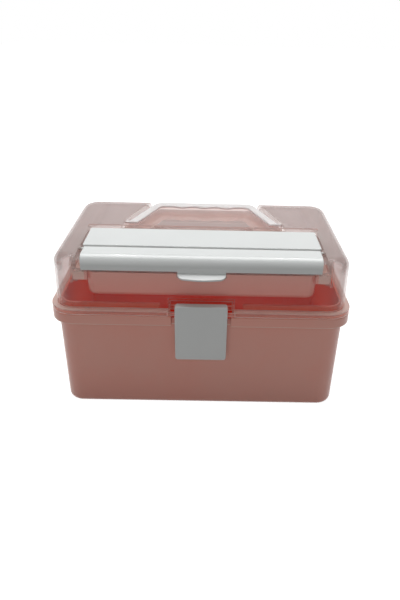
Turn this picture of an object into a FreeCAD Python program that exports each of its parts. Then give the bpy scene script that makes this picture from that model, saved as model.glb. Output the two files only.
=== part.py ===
import FreeCAD, Part
import Sketcher
import math
import os

# Medicine box: a pink tub and a clear lid with a small flap compartment, a folding handle and a latch.
# Millimetres. X to the right, Y to the back, Z up. Origin in the middle of the tub's flat bottom.

doc = FreeCAD.newDocument("medicine_box")
sheet = doc.addObject("Spreadsheet::Sheet", "sizes")
sheet_rows = []


class Size:
    """A length that knows its number and the sheet expression that drives it."""

    def __init__(self, number, text):
        self.number = float(number)
        self.text = text

    def __add__(self, other):
        other = as_size(other)
        return Size(self.number + other.number, f"({self.text} + {other.text})")

    def __sub__(self, other):
        other = as_size(other)
        return Size(self.number - other.number, f"({self.text} - {other.text})")

    def __mul__(self, factor):
        factor = as_size(factor)
        return Size(self.number * factor.number, f"({self.text} * {factor.text})")

    def __truediv__(self, divisor):
        divisor = as_size(divisor)
        return Size(self.number / divisor.number, f"({self.text} / {divisor.text})")

    def __neg__(self):
        return Size(-self.number, f"(0 - {self.text})")

    __radd__ = __add__
    __rmul__ = __mul__


def as_size(value):
    return value if isinstance(value, Size) else Size(value, repr(float(value)))


def tangent(angle):
    return Size(math.tan(math.radians(angle.number)), f"tan({angle.text})")


def root(area):
    return Size(math.sqrt(area.number), f"sqrt({area.text})")


def size(alias, number, note):
    """One driving dimension: a row of the sheet with its name, number and meaning."""
    row = len(sheet_rows) + 1
    sheet_rows.append(alias)
    sheet.set(f"A{row}", alias)
    sheet.set(f"B{row}", str(number))
    sheet.set(f"C{row}", note)
    sheet.setAlias(f"B{row}", alias)
    return Size(number, f"sizes.{alias}")


# Driving dimensions: tub
tub_length = size("tub_length", 250.0, "tub wall, outside, at the rim")
tub_depth = size("tub_depth", 156.0, "tub wall, outside, at the rim")
tub_draft = size("tub_draft", 1.35, "degrees that the tub walls lean out")
tub_corner = size("tub_corner", 17.0, "plan radius of the tub wall at the rim")
tub_wall = size("tub_wall", 2.0, "tub wall thickness")
tub_floor = size("tub_floor", 2.4, "tub floor thickness")
tub_foot_round = size("tub_foot_round", 5.0, "rounding of the tub's bottom edge")
rim_top = size("rim_top", 94.7, "height of the rim")
rim_depth = size("rim_depth", 9.2, "height of the rim's face")
rim_reach = size("rim_reach", 5.0, "how far the rim stands out at the sides")
rim_reach_front = size("rim_reach_front", 4.0, "how far the rim stands out at front and back")
rim_skin = size("rim_skin", 2.0, "thickness of the rim's top and skirt")
lip_rise = size("lip_rise", 8.6, "height of the inner lip over the rim")
lip_thickness = size("lip_thickness", 1.8, "thickness of the inner lip")
lip_gap = size("lip_gap", 1.3, "space between the inner lip and the lid wall")
lip_room = size("lip_room", 13.35, "from the latch's side to the tub's inner lip")

# Driving dimensions: lid
lid_gap = size("lid_gap", 0.3, "space between the closed lid and the rim")
lid_height = size("lid_height", 146.0, "height of the lid's top")
lid_set_in = size("lid_set_in", 1.0, "from the tub's wall at the rim to the lid's top, at front and back")
lid_draft = size("lid_draft", 0.85, "degrees that the lid walls lean out")
lid_corner = size("lid_corner", 17.0, "plan radius of the lid's top")
lid_wall = size("lid_wall", 2.0, "lid wall thickness")
lid_round = size("lid_round", 9.5, "rounding of the lid's top edge")
flange_thickness = size("flange_thickness", 4.4, "thickness of the lid's flange")

# Driving dimensions: rear hinge
hinge_set_back = size("hinge_set_back", 4.0, "from the back of the rim to the hinge axis")
knuckle_radius = size("knuckle_radius", 3.6, "hinge knuckles")
hinge_inset = size("hinge_inset", 50.0, "from the tub's end to the middle of each hinge")
hinge_length = size("hinge_length", 36.0, "length of each hinge")
hinge_centre_length = size("hinge_centre_length", 15.4, "length of the lid's knuckle")
knuckle_gap = size("knuckle_gap", 0.3, "side play between knuckles")
hinge_pin_radius = size("hinge_pin_radius", 1.5, "hinge pins")
hinge_pin_clearance = size("hinge_pin_clearance", 0.06, "running clearance round the hinge pins")
pin_end_inset = size("pin_end_inset", 1.5, "from the knuckle's end to the pin's end")

# Driving dimensions: latch
latch_width = size("latch_width", 44.7, "latch plate at its top")
latch_foot_width = size("latch_foot_width", 44.2, "latch plate at its foot")
latch_rise = size("latch_rise", 11.9, "from the rim's top to the latch's top")
latch_length = size("latch_length", 52.0, "height of the latch")
latch_proud = size("latch_proud", 4.8, "from the rim's face to the latch's face")
latch_depth = size("latch_depth", 6.6, "latch from face to back")
latch_skin = size("latch_skin", 2.0, "latch plate thickness")
latch_round = size("latch_round", 2.4, "corner radius of the latch plate")
bar_radius = size("bar_radius", 1.9, "latch bar of the lid")
bar_set_in = size("bar_set_in", 0.8, "from the rim's face to the bar's axis")
bar_rise = size("bar_rise", 2.0, "from the lid's foot to the bar's axis")
bar_clearance = size("bar_clearance", 0.08, "running clearance of the latch on the bar")
clip_wall = size("clip_wall", 1.7, "wall of the latch's clips round the bar")
clip_length = size("clip_length", 8.0, "length of each clip")
clip_middle = size("clip_middle", 14.0, "from the middle of the latch to each clip")
pocket_room = size("pocket_room", 4.25, "from the latch's side to the wall of the lid's latch pocket")
pocket_wall = size("pocket_wall", 1.6, "wall of the latch pocket")
flange_room = size("flange_room", 5.55, "from the latch's side to the lid's flange")
rim_room = size("rim_room", 3.25, "from the latch's side to the tub's rim")
notch_drop = size("notch_drop", 3.4, "how far the tub wall is lowered in the rim's gap")
swing_gap = size("swing_gap", 0.6, "space round the swinging latch")
catch_half = size("catch_half", 12.0, "half length of the tub's catch")
catch_drop = size("catch_drop", 9.4, "from the rim's top to the underside of the tub's catch")
catch_reach = size("catch_reach", 3.6, "how far the catch stands out from the tub wall")
hook_gap = size("hook_gap", 0.3, "space between the latch's hook and the catch")

# Driving dimensions: handle and its recess
handle_set_back = size("handle_set_back", 13.9, "from the recess's front to the handle's axis")
handle_drop = size("handle_drop", 1.9, "from the lid's top to the handle's axis")
handle_thickness = size("handle_thickness", 2.6, "thickness of the handle")
handle_foot_half = size("handle_foot_half", 71.6, "half length over the handle's legs at the axis")
handle_bar_half = size("handle_bar_half", 49.2, "half length over the handle's legs at the bar")
handle_tail = size("handle_tail", 4.0, "from the handle's bar to the lid's back")
leg_width = size("leg_width", 8.6, "width of the handle's legs")
bar_width = size("bar_width", 12.5, "width of the handle's bar at the finger ridges")
finger_depth = size("finger_depth", 2.8, "depth of the finger hollows")
finger_pitch = size("finger_pitch", 23.0, "length of one finger hollow")
handle_corner = size("handle_corner", 10.0, "outer corner radius of the handle")
stub_radius = size("stub_radius", 1.25, "pivot stubs of the handle")
stub_clearance = size("stub_clearance", 0.08, "running clearance round the handle's stubs")
stub_grip = size("stub_grip", 3.4, "length of each stub inside the lid")
recess_foot_room = size("recess_foot_room", 2.4, "from the handle's legs to the recess's sides at the axis")
recess_back_room = size("recess_back_room", 6.1, "from the handle's bar to the recess's sides at the back")
recess_gap = size("recess_gap", 1.2, "from the bead to the recess's front")
finger_room = size("finger_room", 3.8, "space under the folded handle")
island_reach = size("island_reach", 18.6, "length of the island from front to back, at its waves")
island_corner = size("island_corner", 9.5, "corner radius of the island")
island_half = size("island_half", 45.5, "half width of the island at its front")
island_pitch = size("island_pitch", 21.0, "length of one wave of the island's edge")
bead_width = size("bead_width", 4.0, "raised bead behind the cut-out")
bead_rise = size("bead_rise", 1.1, "height of the bead over the lid's top")

# Driving dimensions: compartment in the lid
cutout_inset = size("cutout_inset", 20.5, "from the lid's end to the cut-out")
cutout_forward = size("cutout_forward", 5.0, "from the middle of the box forward to the cut-out's back")
sill_drop = size("sill_drop", 12.0, "from the lid's top to the cut-out's sill in the front wall")
cutout_lean = size("cutout_lean", 1.2, "how much narrower each side is at the sill")
rebate = size("rebate", 4.2, "depth of the step round the cut-out")
ledge_thickness = size("ledge_thickness", 1.6, "ledge that carries the cover and the flap")
ledge_reach = size("ledge_reach", 6.5, "width of that ledge")
cheek_room = size("cheek_room", 3.5, "from the cut-out's side to the cheek")
cheek_thickness = size("cheek_thickness", 1.6, "cheeks beside the bin")
cheek_height = size("cheek_height", 23.8, "from the lid's top to the cheeks' lower edge")
rail_thickness = size("rail_thickness", 1.6, "rails under the bin's flanges")
cover_gap = size("cover_gap", 1.5, "from the cut-out's side to the white cover")
cover_back_gap = size("cover_back_gap", 3.0, "space behind the cover")
cover_front_gap = size("cover_front_gap", 3.5, "from the cover's front to the flap's axis")
cover_skin = size("cover_skin", 1.8, "thickness of the white cover and flap")
flap_reach = size("flap_reach", 23.9, "from the flap's axis to the lid's front")
flap_barrel = size("flap_barrel", 1.5, "radius of the flap's rolled edge")
flap_sink = size("flap_sink", 0.9, "from the lid's top down to the rolled edge")
flap_room = size("flap_room", 2.4, "how much shorter than the cover the flap is at each end")
flap_gap = size("flap_gap", 0.4, "space under the flap's front edge")
flap_lean = size("flap_lean", 0.9, "how much narrower each side of the flap is at its front edge")
flap_stub_radius = size("flap_stub_radius", 1.1, "end stubs of the flap")
flap_stub_clearance = size("flap_stub_clearance", 0.08, "running clearance round the flap's stubs")
flap_grip = size("flap_grip", 2.4, "length of each flap stub inside its socket")
tab_half = size("tab_half", 20.2, "half length of the thumb tab")
tab_reach = size("tab_reach", 7.2, "how far the tab stands out from the flap")
tab_thickness = size("tab_thickness", 1.7, "thickness of the tab")
tab_slope = size("tab_slope", 24.0, "degrees that the tab slopes down")
bin_side = size("bin_side", 7.1, "from the cut-out's side to the bin's side wall")
bin_inset = size("bin_inset", 4.0, "from the lid's front to the bin")
bin_back_gap = size("bin_back_gap", 4.0, "from the cut-out's back to the bin")
bin_height = size("bin_height", 21.9, "height of the bin")
bin_drop = size("bin_drop", 15.0, "from the lid's top to the bin's top")
bin_draft = size("bin_draft", 2.4, "degrees that the bin's walls lean out")
bin_wall = size("bin_wall", 1.6, "bin wall thickness")
bin_corner = size("bin_corner", 8.0, "corner radius of the bin at its top")
bin_foot_round = size("bin_foot_round", 4.0, "rounding of the bin's bottom edge")
flange_round = size("flange_round", 1.4, "rounding of the ends of the bin's flanges")
side_gap = size("side_gap", 0.3, "space between the bin's flanges and the cheeks")
apron_drop = size("apron_drop", 3.8, "how far the flap's middle reaches below the sill")
edge_round = size("edge_round", 0.8, "small rounding of moulded edges")
knee = size("knee", 5.5, "from the handle's axis to where the recess narrows")
doc.recompute()

# Places worked out from the driving dimensions: rim, lid and rear hinge
shelf_low = rim_top - rim_skin
rim_low = rim_top - rim_depth
rim_half_x = tub_length / 2 + rim_reach
rim_half_y = tub_depth / 2 + rim_reach_front
rim_corner = tub_corner + rim_reach_front
lid_half_x = tub_length / 2
lid_half_y = tub_depth / 2 - lid_set_in
lid_foot = rim_top + lid_gap
lid_flare = (lid_height - lid_foot) * tangent(lid_draft)
lid_roof = lid_height - lid_wall
lip_half_x = lid_half_x + lid_flare - lid_wall - lip_gap
lip_half_y = lid_half_y + lid_flare - lid_wall - lip_gap
lip_corner = lid_corner + lid_flare - lid_wall - lip_gap
hinge_middle = tub_length / 2 - hinge_inset
hinge_y = rim_half_y + hinge_set_back
hinge_z = rim_top + lid_gap / 2

# Places round the latch
latch_top = rim_top + latch_rise
latch_foot = latch_top - latch_length
latch_front = rim_half_y + latch_proud
bar_y = bar_set_in - rim_half_y
bar_z = lid_foot + bar_rise
pocket_half = latch_width / 2 + pocket_room
flange_notch = latch_width / 2 + flange_room
rim_notch = latch_width / 2 + rim_room
lip_notch = latch_width / 2 + lip_room
catch_height = rim_top - catch_drop

# Places round the compartment
cutout_half = lid_half_x - cutout_inset
cutout_back = -cutout_forward
cheek_side = cutout_half + cheek_room
cutout_sill = lid_height - sill_drop
cheek_foot = lid_height - cheek_height
rail_top = cheek_foot + rail_thickness
cover_half = cutout_half - cover_gap
flap_axis = lid_half_y - flap_reach
flap_z = lid_height - flap_sink - flap_barrel
flap_half = cover_half - flap_room
flap_start = flap_axis + flap_barrel * 0.55
apron_foot = cutout_sill - apron_drop
cover_back = cover_back_gap - cutout_back
cover_front = flap_axis - cover_front_gap
bin_half = cutout_half - bin_side
bin_front = lid_half_y - bin_inset
bin_back = bin_back_gap - cutout_back
bin_top = lid_height - bin_drop
bin_foot = bin_top - bin_height

# Places round the handle
recess_front = cutout_back + bead_width + recess_gap
handle_pivot_back = recess_front + handle_set_back
handle_reach = lid_half_y - handle_tail - handle_pivot_back
handle_z = lid_height - handle_drop
recess_floor = handle_z - handle_thickness / 2 - finger_room
recess_foot_half = handle_foot_half + recess_foot_room
recess_back_half = handle_bar_half + recess_back_room
tolerance = 1e-6


# Building blocks: bodies, sketches and features

def origin_plane(body, role):
    return next(f for f in body.Origin.OriginFeatures if f.Role == role)


def new_body(label):
    body = doc.addObject("PartDesign::Body", label)
    body.Label = label
    return body


def bind(thing, path, value):
    """Drives one property of an object by the sheet."""
    thing.setExpression(path, as_size(value).text)


def new_sketch(body, name, role, offset):
    """A sketch on one of the body's own planes, moved along the plane's normal."""
    sketch = body.newObject("Sketcher::SketchObject", name)
    sketch.AttachmentSupport = [(origin_plane(body, role), "")]
    sketch.MapMode = "FlatFace"
    offset = as_size(offset)
    sketch.AttachmentOffset = FreeCAD.Placement(FreeCAD.Vector(0, 0, offset.number), FreeCAD.Rotation())
    bind(sketch, "AttachmentOffset.Base.z", offset)
    return sketch


def at(x, y):
    """A sketch point with both coordinates as sizes."""
    return as_size(x), as_size(y)


def vector(point):
    return FreeCAD.Vector(point[0].number, point[1].number, 0)


def constrain(sketch, kind, *args):
    """A dimension in the sketch, driven by the sheet."""
    *places, value = args
    index = sketch.addConstraint(Sketcher.Constraint(kind, *places, value.number))
    sketch.setExpression(f"Constraints[{index}]", value.text)


def pin_point(sketch, geometry, end, point):
    """Fixes a sketch point at its distances from the sketch's origin."""
    for kind, value in (("DistanceX", point[0]), ("DistanceY", point[1])):
        constrain(sketch, kind, geometry, end, value)


def draw(sketch, steps):
    """A closed outline. Each step is a corner, or a corner with the centre and radius of the arc to it."""
    corners = [step[0] if isinstance(step[0], tuple) else step for step in steps]
    first = sketch.GeometryCount
    for index, step in enumerate(steps):
        start = vector(corners[index - 1])
        end = vector(corners[index])
        if isinstance(step[0], tuple):
            centre = vector(step[1])
            sketch.addGeometry(arc_between(start, end, centre))
        else:
            sketch.addGeometry(Part.LineSegment(start, end))
    for index, step in enumerate(steps):
        here = first + index
        following = first + (index + 1) % len(steps)
        here_end = end_of(sketch, here, corners[index])
        following_start = end_of(sketch, following, corners[index])
        sketch.addConstraint(Sketcher.Constraint("Coincident", here, here_end, following, following_start))
        pin_point(sketch, here, here_end, corners[index])
        if isinstance(step[0], tuple):
            constrain(sketch, "Radius", here, step[2])
    return sketch


def arc_between(start, end, centre):
    """The shorter arc from start to end about the centre."""
    radius = (start - centre).Length
    circle = Part.Circle(centre, FreeCAD.Vector(0, 0, 1), radius)
    first = math.atan2(start.y - centre.y, start.x - centre.x)
    last = math.atan2(end.y - centre.y, end.x - centre.x)
    if (last - first) % (2 * math.pi) > math.pi:
        first, last = last, first
    return Part.ArcOfCircle(circle, first, last)


def end_of(sketch, geometry, corner):
    """Which end of a line or arc lies at the corner: 1 for its start, 2 for its end."""
    start = sketch.getPoint(geometry, 1)
    end = sketch.getPoint(geometry, 2)
    target = vector(corner)
    return 1 if (start - target).Length < (end - target).Length else 2


def arc_to(corner, centre, radius):
    return corner, centre, as_size(radius)


def rounded_rectangle(half_x, half_y, radius, middle_y=0.0):
    """Steps of a rectangle with round corners, about the Y axis."""
    middle_y = as_size(middle_y)
    low, high = middle_y - half_y, middle_y + half_y
    left, right = -half_x, half_x
    return [
        at(right - radius, low),
        arc_to(at(right, low + radius), at(right - radius, low + radius), radius),
        at(right, high - radius),
        arc_to(at(right - radius, high), at(right - radius, high - radius), radius),
        at(left + radius, high),
        arc_to(at(left, high - radius), at(left + radius, high - radius), radius),
        at(left, low + radius),
        arc_to(at(left + radius, low), at(left + radius, low + radius), radius),
    ]


def rectangle(left, low, right, high):
    return [at(left, low), at(right, low), at(right, high), at(left, high)]


def circle(sketch, centre, radius):
    """A full circle at a driven place with a driven radius."""
    index = sketch.addGeometry(Part.Circle(vector(centre), FreeCAD.Vector(0, 0, 1), radius.number))
    pin_point(sketch, index, 3, centre)
    constrain(sketch, "Radius", index, radius)
    return sketch


def finish_feature(body, feature, grows):
    """Recomputes and proves that the feature added or removed material."""
    before = finish_feature.volumes.get(body.Name, 0.0)
    body.Tip = feature
    doc.recompute()
    if "Invalid" in feature.State or feature.Shape.isNull():
        raise RuntimeError(f"{body.Label}: {feature.Name} failed")
    after = feature.Shape.Volume
    if (after > before + tolerance) != grows or abs(after - before) < tolerance:
        raise RuntimeError(f"{body.Label}: {feature.Name} changed the volume by {after - before:.3f}")
    finish_feature.volumes[body.Name] = after
    return feature


finish_feature.volumes = {}


def extrude(body, kind, name, role, offset, outlines, length, reverse=False, taper=0.0):
    """A pad or a pocket of one or more outlines from the moved plane along its normal, wider by the taper."""
    sketch = new_sketch(body, name + "_outline", role, offset)
    for outline in outlines:
        if isinstance(outline, list):
            draw(sketch, outline)
        else:
            circle(sketch, *outline)
    feature = body.newObject("PartDesign::" + kind, name)
    feature.Profile = sketch
    sketch.Visibility = False
    # A pocket cuts against the normal unless it is reversed, a pad grows along it.
    feature.Reversed = reverse if kind == "Pad" else not reverse
    bind(feature, "Length", length)
    bind(feature, "TaperAngle", taper)
    return finish_feature(body, feature, kind == "Pad")


def pad(body, name, role, offset, outlines, length, **options):
    return extrude(body, "Pad", name, role, offset, outlines, length, **options)


def pocket(body, name, role, offset, outlines, length, **options):
    return extrude(body, "Pocket", name, role, offset, outlines, length, **options)


def edges_where(feature, test):
    names = [f"Edge{n + 1}" for n, edge in enumerate(feature.Shape.Edges) if test(edge)]
    if not names:
        raise RuntimeError(f"{feature.Name}: no edge found")
    return names


def round_edges(body, name, test, radius, grows=False):
    """Fillets the edges of the body's last feature that pass the test."""
    base = body.Tip
    feature = body.newObject("PartDesign::Fillet", name)
    feature.Base = (base, edges_where(base, test))
    bind(feature, "Radius", radius)
    return finish_feature(body, feature, grows)


def mirror(body, name, features, role="YZ_Plane"):
    """Repeats features on the other side of the box."""
    before = finish_feature.volumes[body.Name]
    feature = body.newObject("PartDesign::Mirrored", name)
    feature.Originals = features
    feature.MirrorPlane = (origin_plane(body, role), [""])
    body.Tip = feature
    doc.recompute()
    if "Invalid" in feature.State or abs(feature.Shape.Volume - before) < tolerance:
        raise RuntimeError(f"{body.Label}: {name} repeated nothing")
    finish_feature.volumes[body.Name] = feature.Shape.Volume
    return feature


def flat_at(*levels):
    """A test for edges that lie flat at one of the heights."""
    def test(edge):
        box = edge.BoundBox
        return any(max(abs(box.ZMin - level.number), abs(box.ZMax - level.number)) < 1e-3 for level in levels)
    return test


# base_tub: the lower tub with its rim, inner lip, latch catch and the tub's half of the rear hinge

def tub_outline(level, inset=0.0):
    """The tub wall's outline at a height, moved in by the inset."""
    lean = (rim_top - level) * tangent(tub_draft) + inset
    return rounded_rectangle(tub_length / 2 - lean, tub_depth / 2 - lean, tub_corner - lean)


def tub_wall_face():
    """From the middle of the box to the tub's front wall, at the foot of the rim."""
    return tub_depth / 2 - rim_depth * tangent(tub_draft)


def make_base_tub():
    tub = new_body("base_tub")
    floor = as_size(0)
    pad(tub, "outside", "XY_Plane", floor, [tub_outline(floor)], rim_top, taper=tub_draft)
    round_edges(tub, "foot_edge", flat_at(floor), tub_foot_round)
    rim_outline = rounded_rectangle(rim_half_x, rim_half_y, rim_corner)
    pad(tub, "rim", "XY_Plane", rim_low, [rim_outline], rim_depth)
    skirt = rounded_rectangle(rim_half_x - rim_skin, rim_half_y - rim_skin, rim_corner - rim_skin)
    pocket(tub, "skirt_hollow", "XY_Plane", rim_low, [skirt, tub_outline(rim_top)], rim_depth - rim_skin)
    end_wall = rim_notch + rim_skin
    end_block = rectangle(-end_wall, -rim_half_y, end_wall, -tub_depth / 2 + tub_wall / 2)
    pad(tub, "rim_ends", "XY_Plane", rim_low, [end_block], rim_depth)
    wall_face = tub_wall_face()
    gap = rectangle(-rim_notch, -rim_half_y - 1, rim_notch, -wall_face)
    pocket(tub, "rim_gap", "XY_Plane", rim_low - 1, [gap], rim_depth + 2)
    round_edges(tub, "rim_edges", outer_rim_edge, edge_round)
    lip = rounded_rectangle(lip_half_x, lip_half_y, lip_corner)
    pad(tub, "lip", "XY_Plane", rim_top - 1, [lip], lip_rise + 1)
    pocket(tub, "inside", "XY_Plane", tub_floor, [tub_outline(tub_floor, tub_wall)], shelf_low - tub_floor,
           taper=tub_draft)
    round_edges(tub, "floor_edge", flat_at(tub_floor), tub_foot_round - tub_wall, grows=True)
    inner_lip = lip_thickness
    mouth = rounded_rectangle(lip_half_x - inner_lip, lip_half_y - inner_lip, lip_corner - inner_lip)
    pocket(tub, "mouth", "XY_Plane", shelf_low - 1, [mouth], rim_skin + lip_rise + 2)
    lip_back = -lip_half_y + lip_thickness + 1
    lip_cut = rectangle(-lip_notch, -lip_half_y - lip_gap, lip_notch, lip_back)
    pocket(tub, "lip_gap", "XY_Plane", rim_top, [lip_cut], lip_rise + 1)
    wall_cut = rectangle(-rim_notch, -rim_half_y - 1, rim_notch, lip_back)
    pocket(tub, "lowered_wall", "XY_Plane", rim_top - notch_drop, [wall_cut], notch_drop + 1)
    catch_tip = -wall_face - catch_reach
    catch_outline = [
        at(-wall_face + tub_wall / 2, catch_height),
        at(catch_tip, catch_height),
        at(catch_tip, catch_height + catch_reach / 3),
        at(-wall_face + tub_wall / 2, catch_height + catch_reach * 1.6),
    ]
    pad(tub, "catch", "YZ_Plane", -catch_half, [catch_outline], catch_half * 2)
    add_knuckles(tub)
    return tub


def outer_rim_edge(edge):
    """Edges round the outer face of the rim, along its top and its foot."""
    box = edge.BoundBox
    from_top = min(abs(box.ZMax - rim_top.number), abs(box.ZMax - rim_low.number))
    level = box.ZLength < 1e-3 and from_top < 1e-3
    inner_y = rim_half_y.number - rim_corner.number
    inner_x = rim_half_x.number - rim_corner.number
    on_side = min(abs(box.XMin), abs(box.XMax)) > inner_x - 1e-3 and box.XMin * box.XMax > 0
    on_end = min(abs(box.YMin), abs(box.YMax)) > inner_y - 1e-3 and box.YMin * box.YMax > 0
    reach_x = max(abs(box.XMin), abs(box.XMax)) > rim_half_x.number - 1e-3
    reach_y = max(abs(box.YMin), abs(box.YMax)) > rim_half_y.number - 1e-3
    return level and ((on_side and reach_x) or (on_end and reach_y))


def knuckle_circle(radius):
    return at(hinge_y, hinge_z), radius


def add_knuckles(tub):
    """Two knuckles and a bore at each side, with room for the lid's knuckle between them."""
    start = hinge_middle - hinge_length / 2
    barrel = pad(tub, "knuckles", "YZ_Plane", start, [knuckle_circle(knuckle_radius)], hinge_length)
    web_outline = [
        at(rim_half_y - rim_skin / 2, rim_low + edge_round * 2),
        at(hinge_y, hinge_z - knuckle_radius),
        at(hinge_y, rim_top),
        at(rim_half_y - rim_skin / 2, rim_top),
    ]
    web = pad(tub, "knuckle_web", "YZ_Plane", start, [web_outline], hinge_length)
    room = hinge_centre_length / 2 + knuckle_gap
    clear = knuckle_radius + 1
    room_outline = rectangle(rim_half_y, rim_low - 1, hinge_y + clear, hinge_z + clear)
    gap = pocket(tub, "knuckle_room", "YZ_Plane", hinge_middle - room, [room_outline], room * 2)
    bore_radius = hinge_pin_radius + hinge_pin_clearance
    bore = pocket(tub, "pin_bore", "YZ_Plane", start - 1, [knuckle_circle(bore_radius)],
                  hinge_length + 1 - pin_end_inset + knuckle_gap / 3)
    mirror(tub, "other_knuckles", [barrel, web, gap, bore])


# lid_shell: the clear lid with its recess, cut-out, ledges, cheeks and rails, and the latch pocket

def lid_outline(level, inset=0.0):
    """The lid wall's outline at a height, moved in by the inset."""
    lean = (lid_height - level) * tangent(lid_draft) - inset
    return rounded_rectangle(lid_half_x + lean, lid_half_y + lean, lid_corner + lean)


def round_centre():
    """Centre of the rounding along the lid's front top edge, in the YZ plane."""
    return at(lid_round - lid_half_y, lid_height - lid_round)


def along_round(inset):
    """Where a line at the inset from the lid's surface enters and leaves that rounding."""
    centre = round_centre()
    radius = lid_round - inset
    return at(centre[0], centre[1] + radius), at(centre[0] - radius, centre[1]), radius


def wave_steps(peak_y, pitch):
    """The finger wave between its first and last peak, from left to right."""
    rise = finger_depth / 2
    quarter = pitch / 4
    radius = (quarter * quarter + rise * rise) / (rise * 2)
    middle = peak_y - rise
    steps = []
    for count in range(-5, 7, 2):
        peak_before = (count - 1) % 4 != 0
        centre_x = quarter * (count - 1)
        centre_y = peak_y - radius if peak_before else peak_y - finger_depth + radius
        steps.append(arc_to(at(quarter * count, middle), at(centre_x, centre_y), radius))
    steps.append(arc_to(at(quarter * 6, peak_y), at(quarter * 6, peak_y - radius), radius))
    return steps


def make_lid_shell():
    lid = new_body("lid_shell")
    pad(lid, "outside", "XY_Plane", lid_foot, [lid_outline(lid_foot)], lid_height - lid_foot,
        taper=-lid_draft)
    pocket(lid, "inside", "XY_Plane", lid_foot, [lid_outline(lid_foot, lid_wall)], lid_roof - lid_foot,
           taper=-lid_draft)
    round_edges(lid, "roof_edge", flat_at(lid_roof), lid_round - lid_wall, grows=True)
    add_recess_well(lid)
    round_edges(lid, "top_edge", flat_at(lid_height), lid_round)
    flange = rounded_rectangle(rim_half_x, rim_half_y, rim_corner)
    pad(lid, "flange", "XY_Plane", lid_foot, [flange, lid_outline(lid_foot, lid_wall / 2)], flange_thickness)
    cut_recess(lid)
    cut_compartment(lid)
    add_ledges(lid)
    add_latch_pocket(lid)
    add_lid_knuckle(lid)
    return lid


def add_recess_well(lid):
    """Material for the floor and the walls of the handle's recess."""
    foot = recess_foot_half + lid_wall
    back = recess_back_half + lid_wall
    slope_start = handle_pivot_back + knee
    outline = [
        at(-foot, recess_front - lid_wall), at(foot, recess_front - lid_wall), at(foot, slope_start),
        at(back, lid_half_y - lid_wall / 2), at(-back, lid_half_y - lid_wall / 2), at(-foot, slope_start),
    ]
    low = recess_floor - lid_wall
    pad(lid, "recess_well", "XY_Plane", low, [outline], lid_height - low - lid_wall / 2)


def cut_recess(lid):
    """The recess with its island, the hollow under the island and the sockets for the handle's stubs."""
    slope_start = handle_pivot_back + knee
    peak = recess_front + island_reach
    wave_end = island_pitch * 1.5
    side = wave_end + island_corner
    outside = lid_half_y + rim_reach_front
    outline = [
        at(-island_half, recess_front), at(-side, peak - island_corner),
        arc_to(at(-wave_end, peak), at(-wave_end, peak - island_corner), island_corner),
        *wave_steps(peak, island_pitch),
        arc_to(at(side, peak - island_corner), at(wave_end, peak - island_corner), island_corner),
        at(island_half, recess_front), at(recess_foot_half, recess_front), at(recess_foot_half, slope_start),
        at(recess_back_half, lid_half_y), at(recess_back_half, outside), at(-recess_back_half, outside),
        at(-recess_back_half, lid_half_y), at(-recess_foot_half, slope_start),
        at(-recess_foot_half, recess_front),
    ]
    pocket(lid, "recess", "XY_Plane", recess_floor, [outline], lid_height - recess_floor + 1)
    inner = side - lid_wall
    back = peak - finger_depth - lid_wall
    round_y = back - island_corner
    under = [
        at(-inner, recess_front), at(inner, recess_front), at(inner, round_y),
        arc_to(at(inner - island_corner, back), at(inner - island_corner, round_y), island_corner),
        at(island_corner - inner, back),
        arc_to(at(-inner, round_y), at(island_corner - inner, round_y), island_corner),
    ]
    low = recess_floor - lid_wall
    pocket(lid, "island_hollow", "XY_Plane", low, [under], lid_roof - low)
    bead_half = cutout_half + bead_width / 2
    bead = rectangle(-bead_half, cutout_back, bead_half, cutout_back + bead_width)
    pad(lid, "bead", "XY_Plane", lid_height - lid_wall / 2, [bead], lid_wall / 2 + bead_rise)
    reach = stub_radius + lid_wall
    block = rectangle(handle_pivot_back - reach, low, handle_pivot_back + reach, lid_height - lid_wall / 2)
    grip = stub_grip + knuckle_gap
    socket_block = pad(lid, "socket_block", "YZ_Plane", recess_foot_half, [block], grip + lid_wall / 2)
    hole = at(handle_pivot_back, handle_z), stub_radius + stub_clearance
    socket = pocket(lid, "socket", "YZ_Plane", recess_foot_half - 1, [hole], grip + 1)
    mirror(lid, "other_socket", [socket_block, socket])


def cut_compartment(lid):
    """The opening for the cover and the flap, through the top and down the front wall."""
    front = lid_half_y + rim_reach_front
    side = cutout_half - cutout_lean
    above = lid_height + bead_rise
    face = [
        at(-side, cutout_sill), at(side, cutout_sill), at(cutout_half, lid_roof), at(cutout_half, above),
        at(-cutout_half, above), at(-cutout_half, lid_roof),
    ]
    centre_y = round_centre()[0]
    pocket(lid, "front_opening", "XZ_Plane", front, [face], front + centre_y, reverse=True)
    top = rectangle(-cutout_half, centre_y - 1, cutout_half, cutout_back)
    pocket(lid, "top_opening", "XY_Plane", lid_roof - 1, [top], lid_wall + 2)
    apron = tab_half + flap_gap
    notch = rectangle(-apron, apron_foot - flap_gap, apron, cutout_sill + 1)
    pocket(lid, "sill_gap", "XZ_Plane", front, [notch], rim_reach_front + lid_wall * 2, reverse=True)


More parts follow.
